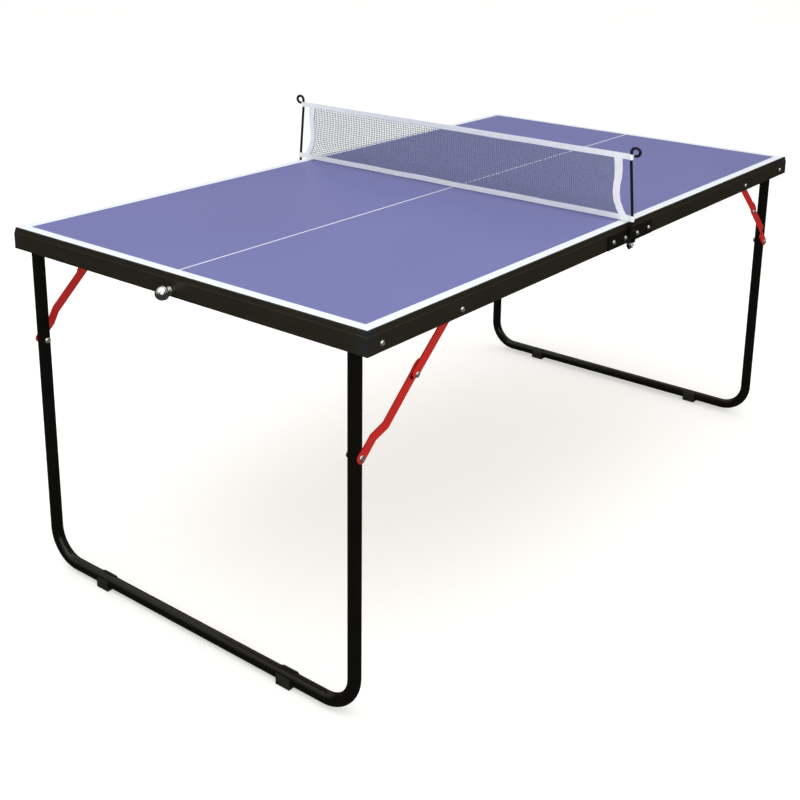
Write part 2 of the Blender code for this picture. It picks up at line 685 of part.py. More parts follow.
def latch_stud(carrier):
    """The headed stud inside the right end rail that the tongue hooks when the table is shut."""
    start = (SEAM + HALF_LENGTH - RAIL_SET_BACK - RAIL_WALL - FIT, 0, TOP - 0.032)
    profile = [(0, 0.0038), (0.0005, 0.0038), (0.0005, 0.0025)]
    profile += [(0.0029, 0.0025), (0.0029, 0.0042), (0.0042, 0.0042)]
    piece("latch_stud", turned(start, (-1, 0, 0), profile, 16), zinc_steel(), carrier, smooth=True)


def half_table(end, carrier):
    playing_board(end, carrier)
    end_rail(end, carrier)
    centre_rail(end, carrier)
    for side in (NEAR, FAR):
        side_rail(end, side, carrier)
        corner_cap(end, side, carrier)
        leg_clamp(end, side, carrier)
        brace_bracket(end, side, carrier)


def legs_and_braces(end, half):
    x = SEAM + end * LEG_X
    name = END_NAMES[end]
    leg = joint_empty(f"{name}_leg_axis", (x, 0, LEG_AXIS_Z), half)
    upper = joint_empty(f"{name}_upper_brace_axis", (SEAM + end * BRACE_RAIL_X, 0, LEG_AXIS_Z), half)
    lower = joint_empty(f"{name}_lower_brace_axis", (x, 0, LEG_PIN_Z), leg)
    leg_frame(end, leg)
    leg_crossbar(end, leg)
    for side in (NEAR, FAR):
        foot(end, side, leg)
        leg_pin(end, side, leg)
        upper_link(end, side, upper)
        lower_link(end, side, lower)


def build():
    clear_scene()
    left = joint_empty("left_half_origin", (SEAM, 0, FOLD_AXIS_Z))
    right = joint_empty("centre_fold_axis", (SEAM, 0, FOLD_AXIS_Z))
    net_carrier = joint_empty("net_lift_origin", (SEAM + NET_X, 0, TOP), left)
    latch = joint_empty("latch_axis", (SEAM - HALF_LENGTH, 0, TOP - LATCH_DROP), left)
    for end, half in ((LEFT, left), (RIGHT, right)):
        half_table(end, half)
        legs_and_braces(end, half)
    for side in (NEAR, FAR):
        left_leaf(side, left)
        right_leaf(side, right)
        hinge_pin(side, left)
        net_socket(side, left)
        net_post(side, net_carrier)
    net(net_carrier)
    latch_knob(latch)
    latch_tongue(latch)
    latch_stud(right)


build()
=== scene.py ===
"""The looks of a folding mid-size table tennis table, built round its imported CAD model."""

import math
import random

import bmesh
import bpy
from mathutils import Euler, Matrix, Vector


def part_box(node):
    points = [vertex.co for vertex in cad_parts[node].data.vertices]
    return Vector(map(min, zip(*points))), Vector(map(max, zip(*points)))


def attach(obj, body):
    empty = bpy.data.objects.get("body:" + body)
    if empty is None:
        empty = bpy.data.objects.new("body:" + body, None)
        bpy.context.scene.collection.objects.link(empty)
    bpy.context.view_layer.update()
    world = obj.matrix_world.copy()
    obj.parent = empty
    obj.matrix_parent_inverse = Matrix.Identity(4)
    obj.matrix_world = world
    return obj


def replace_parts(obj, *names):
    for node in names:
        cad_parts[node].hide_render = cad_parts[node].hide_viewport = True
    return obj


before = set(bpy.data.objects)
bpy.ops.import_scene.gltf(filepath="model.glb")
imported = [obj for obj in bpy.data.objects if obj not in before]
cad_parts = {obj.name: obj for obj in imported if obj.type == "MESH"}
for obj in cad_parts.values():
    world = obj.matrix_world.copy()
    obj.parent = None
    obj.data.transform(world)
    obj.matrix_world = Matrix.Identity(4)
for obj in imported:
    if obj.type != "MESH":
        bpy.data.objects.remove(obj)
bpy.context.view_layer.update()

MM = 0.001
LEFT, RIGHT = -1, 1
NEAR, FAR = -1, 1
END_NAMES = {LEFT: "left", RIGHT: "right"}
SIDE_NAMES = {NEAR: "near", FAR: "far"}

_, left_board_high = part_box("left_playing_board")
right_board_low, right_board_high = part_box("right_playing_board")
SEAM = (left_board_high.x + right_board_low.x) / 2
TOP = left_board_high.z
BOARD_INSET = 4.3 * MM
HALF_LENGTH = right_board_high.x - SEAM + BOARD_INSET
HALF_WIDTH = right_board_high.y + BOARD_INSET
RAIL_FACE = HALF_WIDTH - 0.4 * MM
BORDER = 21.8 * MM
CENTRE_LINE = 3.0 * MM

NET_X = SEAM - 8.0 * MM
POST_Y = HALF_WIDTH + 7.6 * MM
POST_RADIUS = 2.7 * MM
POST_LEAN = 10.0 * MM
POST_LEAN_START = 6.0 * MM
POST_STRAIGHT_TOP = 118.0 * MM
RING_HALF_WIDTH = 8.8 * MM
RING_HALF_HEIGHT = 7.5 * MM
RING_CENTRE_UP = 134.5 * MM
RING_END = -108
NET_BOTTOM = 3.0 * MM
NET_TOP = 130.0 * MM
TAPE_DEPTH = 11.0 * MM

LEG_X = 741.0 * MM
BRACE_RAIL_X = 533.0 * MM
AXIS_DROP = 28.5 * MM
BRACE_DROP = 180.0 * MM
FOLDED_GAP = 28.0 * MM
UPPER_LINK_INSET = 13.7 * MM
LOWER_LINK_INSET = 16.5 * MM
LINK_OFFSET = 4.5 * MM

RIVET_RADIUS = 5.0 * MM
RIVET_HEIGHT = 2.6 * MM
HINGE_RIVET_RADIUS = 4.8 * MM
CORNER_RIVET_ALONG = 727.0
BRACE_RIVET_ALONG = 533.0
FLOOR_REACH = 30.0
FLOOR_DROP = 0.4 * MM


# ---------------------------------------------------------------- camera, light and floor

CAMERA_PLACE = (SEAM - 1.9845, -1.4381, TOP + 0.6006)
CAMERA_TURN = (74.468, -0.969, -52.510)
LENS = 55.10
SHIFT = (-0.0315, -0.2200)
AMBIENT_LIGHT = 0.72


def add_camera():
    camera = bpy.data.cameras.new("camera")
    camera.sensor_width = 36.0
    camera.lens = LENS
    camera.shift_x, camera.shift_y = SHIFT
    holder = bpy.data.objects.new("camera", camera)
    holder.location = CAMERA_PLACE
    holder.rotation_euler = Euler([math.radians(angle) for angle in CAMERA_TURN], "XYZ")
    bpy.context.scene.collection.objects.link(holder)
    bpy.context.scene.camera = holder


def add_softbox(name, place, target, size, power, mirrored=False):
    lamp = bpy.data.lights.new(name, "AREA")
    lamp.shape = "RECTANGLE"
    lamp.size, lamp.size_y = size
    lamp.energy = power
    holder = bpy.data.objects.new(name, lamp)
    holder.location = place
    holder.rotation_euler = (Vector(target) - Vector(place)).to_track_quat("-Z", "Y").to_euler()
    holder.visible_glossy = mirrored
    bpy.context.scene.collection.objects.link(holder)


def add_world():
    """White behind everything, even soft light, and for mirrored rays a room dark but for its ceiling."""
    world = bpy.data.worlds.new("studio")
    bpy.context.scene.world = world
    world.use_nodes = True
    tree = world.node_tree
    ambient = tree.nodes["Background"]
    ambient.inputs["Color"].default_value = (1.0, 1.0, 1.0, 1.0)
    ambient.inputs["Strength"].default_value = AMBIENT_LIGHT
    backdrop = tree.nodes.new("ShaderNodeBackground")
    backdrop.inputs["Color"].default_value = (0.99, 1.0, 0.97, 1.0)
    backdrop.inputs["Strength"].default_value = 1.0
    mirrored = tree.nodes.new("ShaderNodeBackground")
    ray = tree.nodes.new("ShaderNodeLightPath")
    direction = tree.nodes.new("ShaderNodeTexCoord")
    split = tree.nodes.new("ShaderNodeSeparateXYZ")
    height = tree.nodes.new("ShaderNodeMapRange")
    for socket, value in {"From Min": 0.15, "From Max": 0.80, "To Min": 0.045, "To Max": 1.1}.items():
        height.inputs[socket].default_value = value
    by_mirror = tree.nodes.new("ShaderNodeMixShader")
    by_camera = tree.nodes.new("ShaderNodeMixShader")
    for start, end in (
        (direction.outputs["Generated"], split.inputs[0]),
        (split.outputs["Z"], height.inputs["Value"]),
        (height.outputs[0], mirrored.inputs["Strength"]),
        (ray.outputs["Is Glossy Ray"], by_mirror.inputs[0]),
        (ambient.outputs[0], by_mirror.inputs[1]),
        (mirrored.outputs[0], by_mirror.inputs[2]),
        (ray.outputs["Is Camera Ray"], by_camera.inputs[0]),
        (by_mirror.outputs[0], by_camera.inputs[1]),
        (backdrop.outputs[0], by_camera.inputs[2]),
        (by_camera.outputs[0], tree.nodes["World Output"].inputs["Surface"]),
    ):
        tree.links.new(start, end)


# ---------------------------------------------------------------- making materials


class Wire:
    """One value in a material. Arithmetic on it makes the nodes that work it out."""

    def __init__(self, paint, socket):
        self.paint = paint
        self.socket = socket

    def maths(self, operation, *values):
        return self.paint.node("ShaderNodeMath", {"operation": operation}, dict(enumerate(values)))

    def __add__(self, other):
        return self.maths("ADD", self, other)

    def __sub__(self, other):
        return self.maths("SUBTRACT", self, other)

    def __rsub__(self, other):
        return self.maths("SUBTRACT", other, self)

    def __mul__(self, other):
        return self.maths("MULTIPLY", self, other)

    __radd__ = __add__
    __rmul__ = __mul__

    def __abs__(self):
        return self.maths("ABSOLUTE", self)

    def most(self, other):
        return self.maths("MAXIMUM", self, other)

    def wave(self, length):
        """A sine of this value that repeats every length, from 0 to 1."""
        return self.maths("SINE", self * (2 * math.pi / length)) * 0.5 + 0.5

    def rises(self, start, stop):
        """0 before start and 1 after stop, smooth between them. It falls where start is the larger."""
        values = {"Value": self, "From Min": start, "From Max": stop}
        return self.paint.node("ShaderNodeMapRange", {"interpolation_type": "SMOOTHSTEP"}, values)

    def output(self, name):
        return Wire(self.paint, self.socket.node.outputs[name])


class Paint:
    """A material with one Principled shader and the position on the object as its starting point."""

    def __init__(self, name, **constants):
        self.material = bpy.data.materials.new(name)
        self.material.use_nodes = True
        self.tree = self.material.node_tree
        self.shader = self.tree.nodes["Principled BSDF"]
        for socket, value in constants.items():
            self.shader.inputs[socket.replace("_", " ")].default_value = value
        self.place = self.node("ShaderNodeTexCoord").output("Object")
        split = self.node("ShaderNodeSeparateXYZ", {}, {0: self.place})
        self.x, self.y, self.z = (split.output(name) for name in "XYZ")

    def put(self, socket, value):
        if isinstance(value, Wire):
            self.tree.links.new(value.socket, socket)
        elif isinstance(value, tuple) and len(value) == 3 and socket.type == "RGBA":
            socket.default_value = (*value, 1.0)
        else:
            socket.default_value = value

    def node(self, kind, settings=None, values=None):
        made = self.tree.nodes.new(kind)
        for name, value in (settings or {}).items():
            setattr(made, name, value)
        for name, value in (values or {}).items():
            self.put(made.inputs[name], value)
        return Wire(self, made.outputs[0])

    def noise(self, scale, detail=2.0, stretch=None):
        place = self.place
        if stretch:
            place = self.node("ShaderNodeVectorMath", {"operation": "MULTIPLY"}, {0: place, 1: stretch})
        return self.node("ShaderNodeTexNoise", {}, {"Vector": place, "Scale": scale, "Detail": detail})

    def mix(self, share, first, second):
        made = self.node("ShaderNodeMix", {"data_type": "RGBA"}, {0: share, 6: first, 7: second})
        return Wire(self, made.socket.node.outputs[2])

    def bump(self, height, distance, rounding=None):
        """Relief from a height between 0 and 1, over edges rounded off by a radius."""
        values = {"Height": height, "Distance": distance, "Strength": 1.0}
        if rounding:
            values["Normal"] = self.node("ShaderNodeBevel", {"samples": 4}, {"Radius": rounding})
        return self.node("ShaderNodeBump", {}, values)

    def feed(self, **wires):
        for socket, wire in wires.items():
            self.put(self.shader.inputs[socket.replace("_", " ")], wire)
        return self.material


def playing_surface():
    """Blue rolled paint with white border and centre lines on top, bare fibreboard below."""
    paint = Paint("playing_surface", IOR=1.42)
    from_end = HALF_LENGTH - abs(paint.x - SEAM)
    from_side = HALF_WIDTH - abs(paint.y)
    blur = 0.2 * MM
    border = from_end.rises(BORDER + blur, BORDER - blur).most(from_side.rises(BORDER + blur, BORDER - blur))
    centre = abs(paint.y).rises(CENTRE_LINE / 2 + blur, CENTRE_LINE / 2 - blur)
    lines = border.most(centre)
    painted = paint.z.rises(TOP - 14.6 * MM, TOP - 13.8 * MM)
    cloud = paint.noise(5.0, 3.0)
    stipple = paint.noise(700.0, 2.0)
    speck = paint.noise(260.0, 1.0).rises(0.66, 0.74)
    blue = paint.mix(cloud, (0.160, 0.171, 0.395), (0.175, 0.187, 0.425))
    blue = paint.mix(speck * 0.06, blue, (0.30, 0.32, 0.56))
    white = paint.mix(stipple, (0.88, 0.93, 0.97), (0.84, 0.89, 0.93))
    fibres = paint.noise(160.0, 6.0, (0.6, 1.0, 1.0))
    board = paint.mix(fibres, (0.20, 0.115, 0.055), (0.36, 0.23, 0.12))
    height = stipple * 0.7 + lines * 0.5
    return paint.feed(
        Base_Color=paint.mix(painted, board, paint.mix(lines, blue, white)),
        Roughness=0.40 + 0.10 * cloud + 0.30 * (1.0 - painted),
        Normal=paint.bump(height, 0.06 * MM),
    )


def rail_coating(name, along):
    """Near-black coated channel, drawn along its length."""
    paint = Paint(name, IOR=1.40)
    stretch = (1.5, 260.0, 260.0) if along == "x" else (260.0, 1.5, 260.0)
    streaks = paint.noise(1.0, 3.0, stretch)
    patches = paint.noise(14.0, 4.0)
    grain = paint.noise(1500.0, 2.0)
    tone = (streaks + patches * 0.8) * 0.55
    return paint.feed(
        Base_Color=paint.mix(tone, (0.0100, 0.0082, 0.0042), (0.0250, 0.0195, 0.0100)),
        Roughness=0.30 + 0.16 * streaks + 0.08 * patches,
        Normal=paint.bump(streaks * 0.5 + grain * 0.35, 0.05 * MM, 0.35 * MM),
    )


def tube_paint():
    """Gloss black stove paint with a faint orange peel."""
    paint = Paint("tube_paint", IOR=1.34, Coat_Roughness=0.12)
    peel = paint.noise(420.0, 1.0)
    dust = paint.noise(38.0, 5.0)
    return paint.feed(
        Base_Color=paint.mix(dust, (0.0022, 0.0019, 0.0012), (0.0050, 0.0042, 0.0028)),
        Roughness=0.17 + 0.12 * dust,
        Coat_Weight=0.25 - 0.15 * dust,
        Normal=paint.bump(peel, 0.045 * MM),
    )


def moulded_plastic():
    """Black moulded plastic with a fine spark-eroded grain."""
    paint = Paint("moulded_plastic", IOR=1.46)
    grain = paint.noise(1900.0, 3.0)
    flow = paint.noise(30.0, 3.0)
    return paint.feed(
        Base_Color=paint.mix(flow, (0.0100, 0.0098, 0.0080), (0.0190, 0.0185, 0.0150)),
        Roughness=0.46 + 0.14 * grain,
        Normal=paint.bump(grain, 0.06 * MM, 0.5 * MM),
    )


def black_steel():
    """Pressed steel and wire with a thin satin black finish, rubbed here and there."""
    paint = Paint("black_steel", IOR=1.36)
    rub = paint.noise(90.0, 5.0).rises(0.60, 0.78)
    grain = paint.noise(1100.0, 2.0)
    return paint.feed(
        Base_Color=paint.mix(rub, (0.0055, 0.0048, 0.0036), (0.0150, 0.0138, 0.0110)),
        Metallic=rub * 0.25,
        Roughness=0.34 + 0.14 * grain - 0.06 * rub,
        Normal=paint.bump(grain, 0.04 * MM, 0.3 * MM),
    )


def red_paint():
    """Red enamel on flat strip, with a few rubbed spots where it is darker and its coat thinner."""
    paint = Paint("red_enamel", IOR=1.36, Coat_Roughness=0.10)
    cloud = paint.noise(24.0, 4.0)
    peel = paint.noise(520.0, 1.5)
    rub = paint.noise(120.0, 6.0).rises(0.70, 0.80)
    red = paint.mix(cloud, (0.42, 0.0075, 0.0050), (0.54, 0.012, 0.0085))
    return paint.feed(
        Base_Color=paint.mix(rub * 0.5, red, (0.24, 0.012, 0.010)),
        Roughness=0.30 + 0.14 * cloud,
        Coat_Weight=0.12 - 0.08 * rub,
        Normal=paint.bump(peel, 0.05 * MM, 0.4 * MM),
    )


def zinc_plate():
    """Bright zinc with the faint warm and cool patches of its passivation."""
    paint = Paint("zinc_plate")
    patches = paint.noise(210.0, 3.0)
    scratches = paint.noise(1.0, 4.0, (1400.0, 1400.0, 180.0))
    return paint.feed(
        Base_Color=paint.mix(patches, (0.80, 0.78, 0.70), (0.90, 0.90, 0.88)),
        Metallic=0.94 + 0.06 * patches,
        Roughness=0.26 + 0.14 * scratches,
        Normal=paint.bump(scratches, 0.015 * MM, 0.25 * MM),
    )


def polished_chrome():
    """Chrome plate with light smears from handling."""
    paint = Paint("polished_chrome")
    smears = paint.noise(150.0, 4.0)
    return paint.feed(
        Base_Color=paint.mix(smears, (0.70, 0.70, 0.68), (0.80, 0.80, 0.79)),
        Metallic=0.98 + 0.02 * smears,
        Roughness=0.08 + 0.12 * smears,
        Normal=paint.bump(smears, 0.01 * MM, 0.2 * MM),
    )


def net_thread():
    """Blue-grey twisted polyester thread."""
    paint = Paint("net_thread", Sheen_Weight=0.15)
    twist = (paint.z + paint.y).wave(0.9 * MM)
    fuzz = paint.noise(500.0, 3.0)
    return paint.feed(
        Base_Color=paint.mix(fuzz, (0.10, 0.125, 0.195), (0.20, 0.235, 0.315)),
        Roughness=0.72 + 0.12 * fuzz,
        Normal=paint.bump(twist, 0.10 * MM),
    )


def woven_tape(name, across):
    """White woven tape: a fine rib across it and a finer one along it."""
    paint = Paint(name, Sheen_Weight=0.2)
    along = paint.y if across == "z" else paint.z
    side = paint.z if across == "z" else paint.y
    rib = along.wave(1.3 * MM)
    weave = rib * 0.6 + side.wave(0.9 * MM) * 0.4
    cloud = paint.noise(60.0, 3.0)
    white = paint.mix(cloud, (0.80, 0.82, 0.86), (0.92, 0.93, 0.95))
    return paint.feed(
        # The weave pattern is drawn darker toward a bluish grey: painted shade between the threads.
        Base_Color=paint.mix(weave * 0.22, white, (0.58, 0.60, 0.66)),
        Roughness=0.78 + 0.10 * cloud,
        Normal=paint.bump(weave, 0.18 * MM),
    )


def studio_floor():
    """A pale floor lit a little from below, as a light table is, so that shadows on it stay faint."""
    glow = {"Emission_Color": (1.0, 1.0, 0.98, 1.0), "Emission_Strength": 0.40}
    paint = Paint("studio_floor", **glow)
    tone = paint.noise(0.8, 2.0)
    return paint.feed(
        Base_Color=paint.mix(tone, (0.83, 0.835, 0.82), (0.85, 0.855, 0.84)),
        Roughness=0.85 + 0.05 * tone,
    )


# ---------------------------------------------------------------- making shapes


def piece(name, bm, material, body, smooth=40.0):
    """One visible piece: it rides on a body and takes its finish from a slot."""
    bmesh.ops.remove_doubles(bm, verts=bm.verts, dist=1e-6)
    bmesh.ops.recalc_face_normals(bm, faces=bm.faces)
    mesh = bpy.data.meshes.new(name)
    bm.to_mesh(mesh)
    bm.free()
    mesh.materials.append(material)
    mesh.shade_smooth()
    mesh.set_sharp_from_angle(angle=math.radians(smooth))
    obj = bpy.data.objects.new(name, mesh)
    bpy.context.scene.collection.objects.link(obj)
    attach(obj, body)
    return obj


def skin(bm, rings, closed=False):
    """Joins rings of points. A closed skin joins its last ring to its first; others get end faces."""
    rows = [[bm.verts.new(point) for point in ring] for ring in rings]
    pairs = list(zip(rows, rows[1:]))
    if closed:
        pairs.append((rows[-1], rows[0]))
    for one, other in pairs:
        for i in range(len(one)):
            j = (i + 1) % len(one)
            bm.faces.new((one[i], one[j], other[j], other[i]))
    if not closed:
        bm.faces.new(rows[0])
        bm.faces.new(list(reversed(rows[-1])))


def arc(centre, radius, start, stop, steps):
    """Points on an arc in a plane, with angles in degrees."""
    turns = [math.radians(start + (stop - start) * i / steps) for i in range(steps + 1)]
    return [(centre[0] + radius * math.cos(t), centre[1] + radius * math.sin(t)) for t in turns]


def lathe(bm, centre, direction, profile, sides=40):
    """A round shape: profile lists (distance along direction, radius)."""
    direction = Vector(direction).normalized()
    across = direction.orthogonal().normalized()
    other = direction.cross(across)
    turns = [2 * math.pi * i / sides for i in range(sides)]
    ring = [across * math.cos(t) + other * math.sin(t) for t in turns]
    centre = Vector(centre)
    skin(bm, [[centre + direction * along + spoke * radius for spoke in ring] for along, radius in profile])


def sweep(bm, path, radii, normal, sides):
    """A round bar along a path that lies in the plane with this normal."""
    normal = Vector(normal)
    path = [Vector(point) for point in path]
    turns = [2 * math.pi * k / sides for k in range(sides)]
    rings = []
    for i, point in enumerate(path):
        ahead = path[min(i + 1, len(path) - 1)] - path[max(i - 1, 0)]
        across = ahead.normalized().cross(normal)
        rings.append([point + (across * math.cos(t) + normal * math.sin(t)) * radii[i] for t in turns])
    skin(bm, rings)


def dome(height, radius, dimple=0.0, steps=7):
    """A rivet head's profile, from its rim to its middle, with a dimple where the setting tool pressed."""
    points = []
    for i in range(steps + 1):
        t = math.pi / 2 * i / steps
        points.append((height * math.sin(t), radius * math.cos(t)))
    points = [point for point in points if point[1] > 0.30 * radius]
    rim = points[-1]
    points.append((rim[0] + 0.04 * height, 0.24 * radius))
    points.append((rim[0] - dimple, 0.16 * radius))
    points.append((rim[0] - dimple, 0.02 * radius))
    return points


# ---------------------------------------------------------------- leg frames


def leg_tube(end, material):
    """One bent tube: two uprights with rounded tops and the floor bar between them."""
    node = f"{END_NAMES[end]}_leg_frame"
    low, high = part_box(node)
    radius = (high.x - low.x) / 2
    x = (low.x + high.x) / 2
    side = high.y - radius
    top = high.z - radius
    floor = low.z + radius
    bend = 60.0 * MM
    half = [(side, top + radius * math.sin(math.radians(t)), radius * math.cos(math.radians(t)))
            for t in (86, 75, 62, 50, 38, 26, 13, 0)]
    half += [(side, top - (top - floor - bend) * i / 12, radius) for i in range(1, 12)]
    half += [(y, z, radius) for y, z in arc((side - bend, floor + bend), bend, 0, -90, 22)]
    path = half + [(-y, z, r) for y, z, r in reversed(half)]
    bm = bmesh.new()
    sweep(bm, [(x, y, z) for y, z, _ in path], [r for _, _, r in path], (1, 0, 0), 44)
    obj = piece(f"{END_NAMES[end]}_leg_tube", bm, material, f"{END_NAMES[end]}_leg", 50)
    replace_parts(obj, node)


def foot_pad(end, side, material):
    """A snap-on foot with moulded ribs, rounded at both of its ends."""
    node = f"{END_NAMES[end]}_{SIDE_NAMES[side]}_foot"
    low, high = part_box(node)
    x = SEAM + end * (HALF_LENGTH - 19.0 * MM)
    bar = 15.0 * MM
    inner = 11.3 * MM
    outer = 13.1 * MM
    length = high.y - low.y
    steps = 60
    rings = []
    for i in range(steps + 1):
        share = i / steps
        along = share * length
        near_end = min(along, length - along)
        rib = 0.5 + 0.5 * math.cos(2 * math.pi * along / (length / 6))
        cut = 0.55 * MM * rib ** 2 if 0.12 < share < 0.88 else 0.0
        cut += 1.1 * MM * (1 - min(near_end / (1.6 * MM), 1.0)) ** 2
        reach = outer - cut
        base = 13.0 * MM - 0.5 * cut
        foot = bar - 0.35 * cut
        ring = arc((0, 0), outer - 0.4 * cut, 80, 14, 10) + arc((0, 0), reach, 0, -6, 2)
        ring += [(base, -foot + 1.2 * MM), (base - 1.2 * MM, -foot), (-base + 1.2 * MM, -foot)]
        ring += [(-base, -foot + 1.2 * MM)] + arc((0, 0), reach, 186, 156, 6)
        ring += arc((0, 0), inner, 156, 440, 40)
        rings.append([(x - end * across, low.y + along, bar + up) for across, up in ring])
    bm = bmesh.new()
    skin(bm, rings)
    obj = piece(f"{node}_pad", bm, material, f"{END_NAMES[end]}_leg", 32)
    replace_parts(obj, node)


def leg_pivot(end, side, material):
    """The pin through an upright, headed at both ends."""
    node = f"{END_NAMES[end]}_{SIDE_NAMES[side]}_leg_pin"
    low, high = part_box(node)
    x = (low.x + high.x) / 2
    z = (low.z + high.z) / 2
    outer = HALF_WIDTH - 25.6 * MM + 0.3 * MM
    inner = HALF_WIDTH - 50.4 * MM - 0.3 * MM
    bm = bmesh.new()
    heads = [(-along, radius) for along, radius in reversed(dome(2.6 * MM, 5.8 * MM, 0.5 * MM))]
    tail = [(outer - inner + along, radius) for along, radius in dome(3.4 * MM, 5.8 * MM, 0.6 * MM)]
    lathe(bm, (x, side * outer, z), (0, -side, 0), heads + [(0, 3.0 * MM), (outer - inner, 3.0 * MM)] + tail)
    obj = piece(f"{node}_rivet", bm, material, f"{END_NAMES[end]}_leg", 50)
    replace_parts(obj, node)


# ---------------------------------------------------------------- braces


def brace_joint(end):
    """A locked brace's middle joint, the direction up it and the direction out to its upper edge."""
    axis_z = TOP - AXIS_DROP
    span = math.hypot(LEG_X - BRACE_RAIL_X, BRACE_DROP)
    up = Vector((-end * (LEG_X - BRACE_RAIL_X), 0, BRACE_DROP)) / span
    joint = Vector((SEAM + end * LEG_X, 0, axis_z - BRACE_DROP)) + up * ((span + FOLDED_GAP) / 2)
    return joint, up, Vector((end * up.z, 0, -end * up.x))


def joint_rivet(end, side, material):
    """The domed rivet at a brace's middle joint, near the links' lower edges."""
    joint, _, _ = brace_joint(end)
    radius = 5.0 * MM
    profile = [(-0.05 * MM, radius), (0.5 * MM, radius)]
    profile += [(0.5 * MM + along, wide * 0.88) for along, wide in dome(2.4 * MM, radius, 0.4 * MM)]
    bm = bmesh.new()
    face = side * (HALF_WIDTH - UPPER_LINK_INSET)
    lathe(bm, (joint.x, face, joint.z), (0, side, 0), profile)
    name = f"{END_NAMES[end]}_{SIDE_NAMES[side]}_brace_joint_rivet"
    piece(name, bm, material, f"{END_NAMES[end]}_upper_braces", 50)


# The stop lobe's outline in mm: distance past the joint up the brace, and distance out from
# the links' middle line.
STOP_LOBE = [(-12.0, 7.6), (-9.0, 9.4), (-3.0, 11.2), (6.0, 12.0), (14.0, 11.6), (18.5, 10.0),
             (21.0, 7.6), (22.0, 4.5)]


def stop_lobe(end, side, material):
    """The lower link's widened end, which runs behind the upper link and lips up beside its edge."""
    joint, up, out = brace_joint(end)
    face = HALF_WIDTH - LOWER_LINK_INSET
    bm = bmesh.new()
    rings = []
    for along, reach in STOP_LOBE:
        ring = []
        for across, proud in ((-3.0, -1.6), (-3.0, 0.0), (reach - 2.2, 0.0), (reach - 1.2, 0.35),
                              (reach - 0.8, 1.9), (reach, 1.9), (reach, -0.6), (reach - 1.0, -1.6)):
            point = joint + up * (along * MM) + out * (LINK_OFFSET + across * MM)
            point.y = side * (face + proud * MM)
            ring.append(point)
        rings.append(ring)
    skin(bm, rings)
    name = f"{END_NAMES[end]}_{SIDE_NAMES[side]}_brace_stop_lobe"
    piece(name, bm, material, f"{END_NAMES[end]}_lower_braces", 30)


# ---------------------------------------------------------------- rails, hinges and latch


def rivet_row(name, places, side, radius, height, material, body, face=RAIL_FACE):
    """Domed rivets set into a long side, each with its washer rim."""
    bm = bmesh.new()
    for along, drop in places:
        centre = (SEAM + along * MM, side * face, TOP - drop * MM)
        profile = [(-0.3 * MM, radius), (0.35 * MM, radius)]
        profile += [(0.35 * MM + a, r * 0.88) for a, r in dome(height, radius, 0.45 * MM)]
        lathe(bm, centre, (0, side, 0), profile, 32)
    return piece(name, bm, material, body, 50)


def side_rivets(end, side, material):
    name = f"{END_NAMES[end]}_{SIDE_NAMES[side]}"
    body = f"{END_NAMES[end]}_half"
    for kind, along, drop in (("corner", CORNER_RIVET_ALONG, 26.5), ("brace", BRACE_RIVET_ALONG, 28.5)):
        places = [(end * along, drop)]
        rivet_row(f"{name}_{kind}_rivet", places, side, RIVET_RADIUS, RIVET_HEIGHT, material, body)
    leaf_face = HALF_WIDTH + 2.3 * MM
    places = [(-64.0, 25.5), (-19.5, 26.5)] if end == LEFT else [(25.8, 26.5), (71.0, 25.5)]
    size = (HINGE_RIVET_RADIUS, RIVET_HEIGHT)
    rivet_row(f"{name}_hinge_rivets", places, side, *size, material, body, leaf_face)


def hinge_pivot(side, material):
    """The pin through both lugs of a hinge, with a deep outer head that is hollow at its tip."""
    node = f"{SIDE_NAMES[side]}_hinge_pin"
    outer = HALF_WIDTH + 2.6 * MM
    span = 5.6 * MM
    head = [(-3.6, 0.1), (-3.6, 2.0), (-5.0, 2.4), (-5.6, 2.9), (-5.5, 3.6), (-5.0, 4.2), (-4.2, 4.6),
            (-3.2, 4.8)]
    head += [(-0.9, 4.8), (-0.7, 4.6), (-0.5, 4.8), (-0.1, 4.8), (0.0, 4.6)]
    profile = [(along * MM, radius * MM) for along, radius in head]
    profile += [(0, 2.5 * MM), (span, 2.5 * MM)]
    profile += [(span + a, r) for a, r in dome(1.4 * MM, 4.0 * MM, 0.3 * MM)]
    bm = bmesh.new()
    lathe(bm, (SEAM, side * outer, TOP - 45.0 * MM), (0, -side, 0), profile)
    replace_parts(piece(f"{node}_rivet", bm, material, "left_half", 50), node)


def socket_screw(side, material):
    """The black screw that clamps a net post in its socket."""
    y = side * (HALF_WIDTH + 12.2 * MM)
    bm = bmesh.new()
    profile = [(-0.4 * MM, 3.4 * MM), (1.2 * MM, 3.4 * MM), (1.9 * MM, 2.9 * MM), (2.2 * MM, 2.0 * MM)]
    profile += [(2.2 * MM, 1.5 * MM), (1.3 * MM, 1.4 * MM), (1.3 * MM, 0.1 * MM)]
    lathe(bm, (NET_X, y, TOP - 15.0 * MM), (0, side, 0), profile, 32)
    piece(f"{SIDE_NAMES[side]}_socket_screw", bm, material, "left_half", 40)


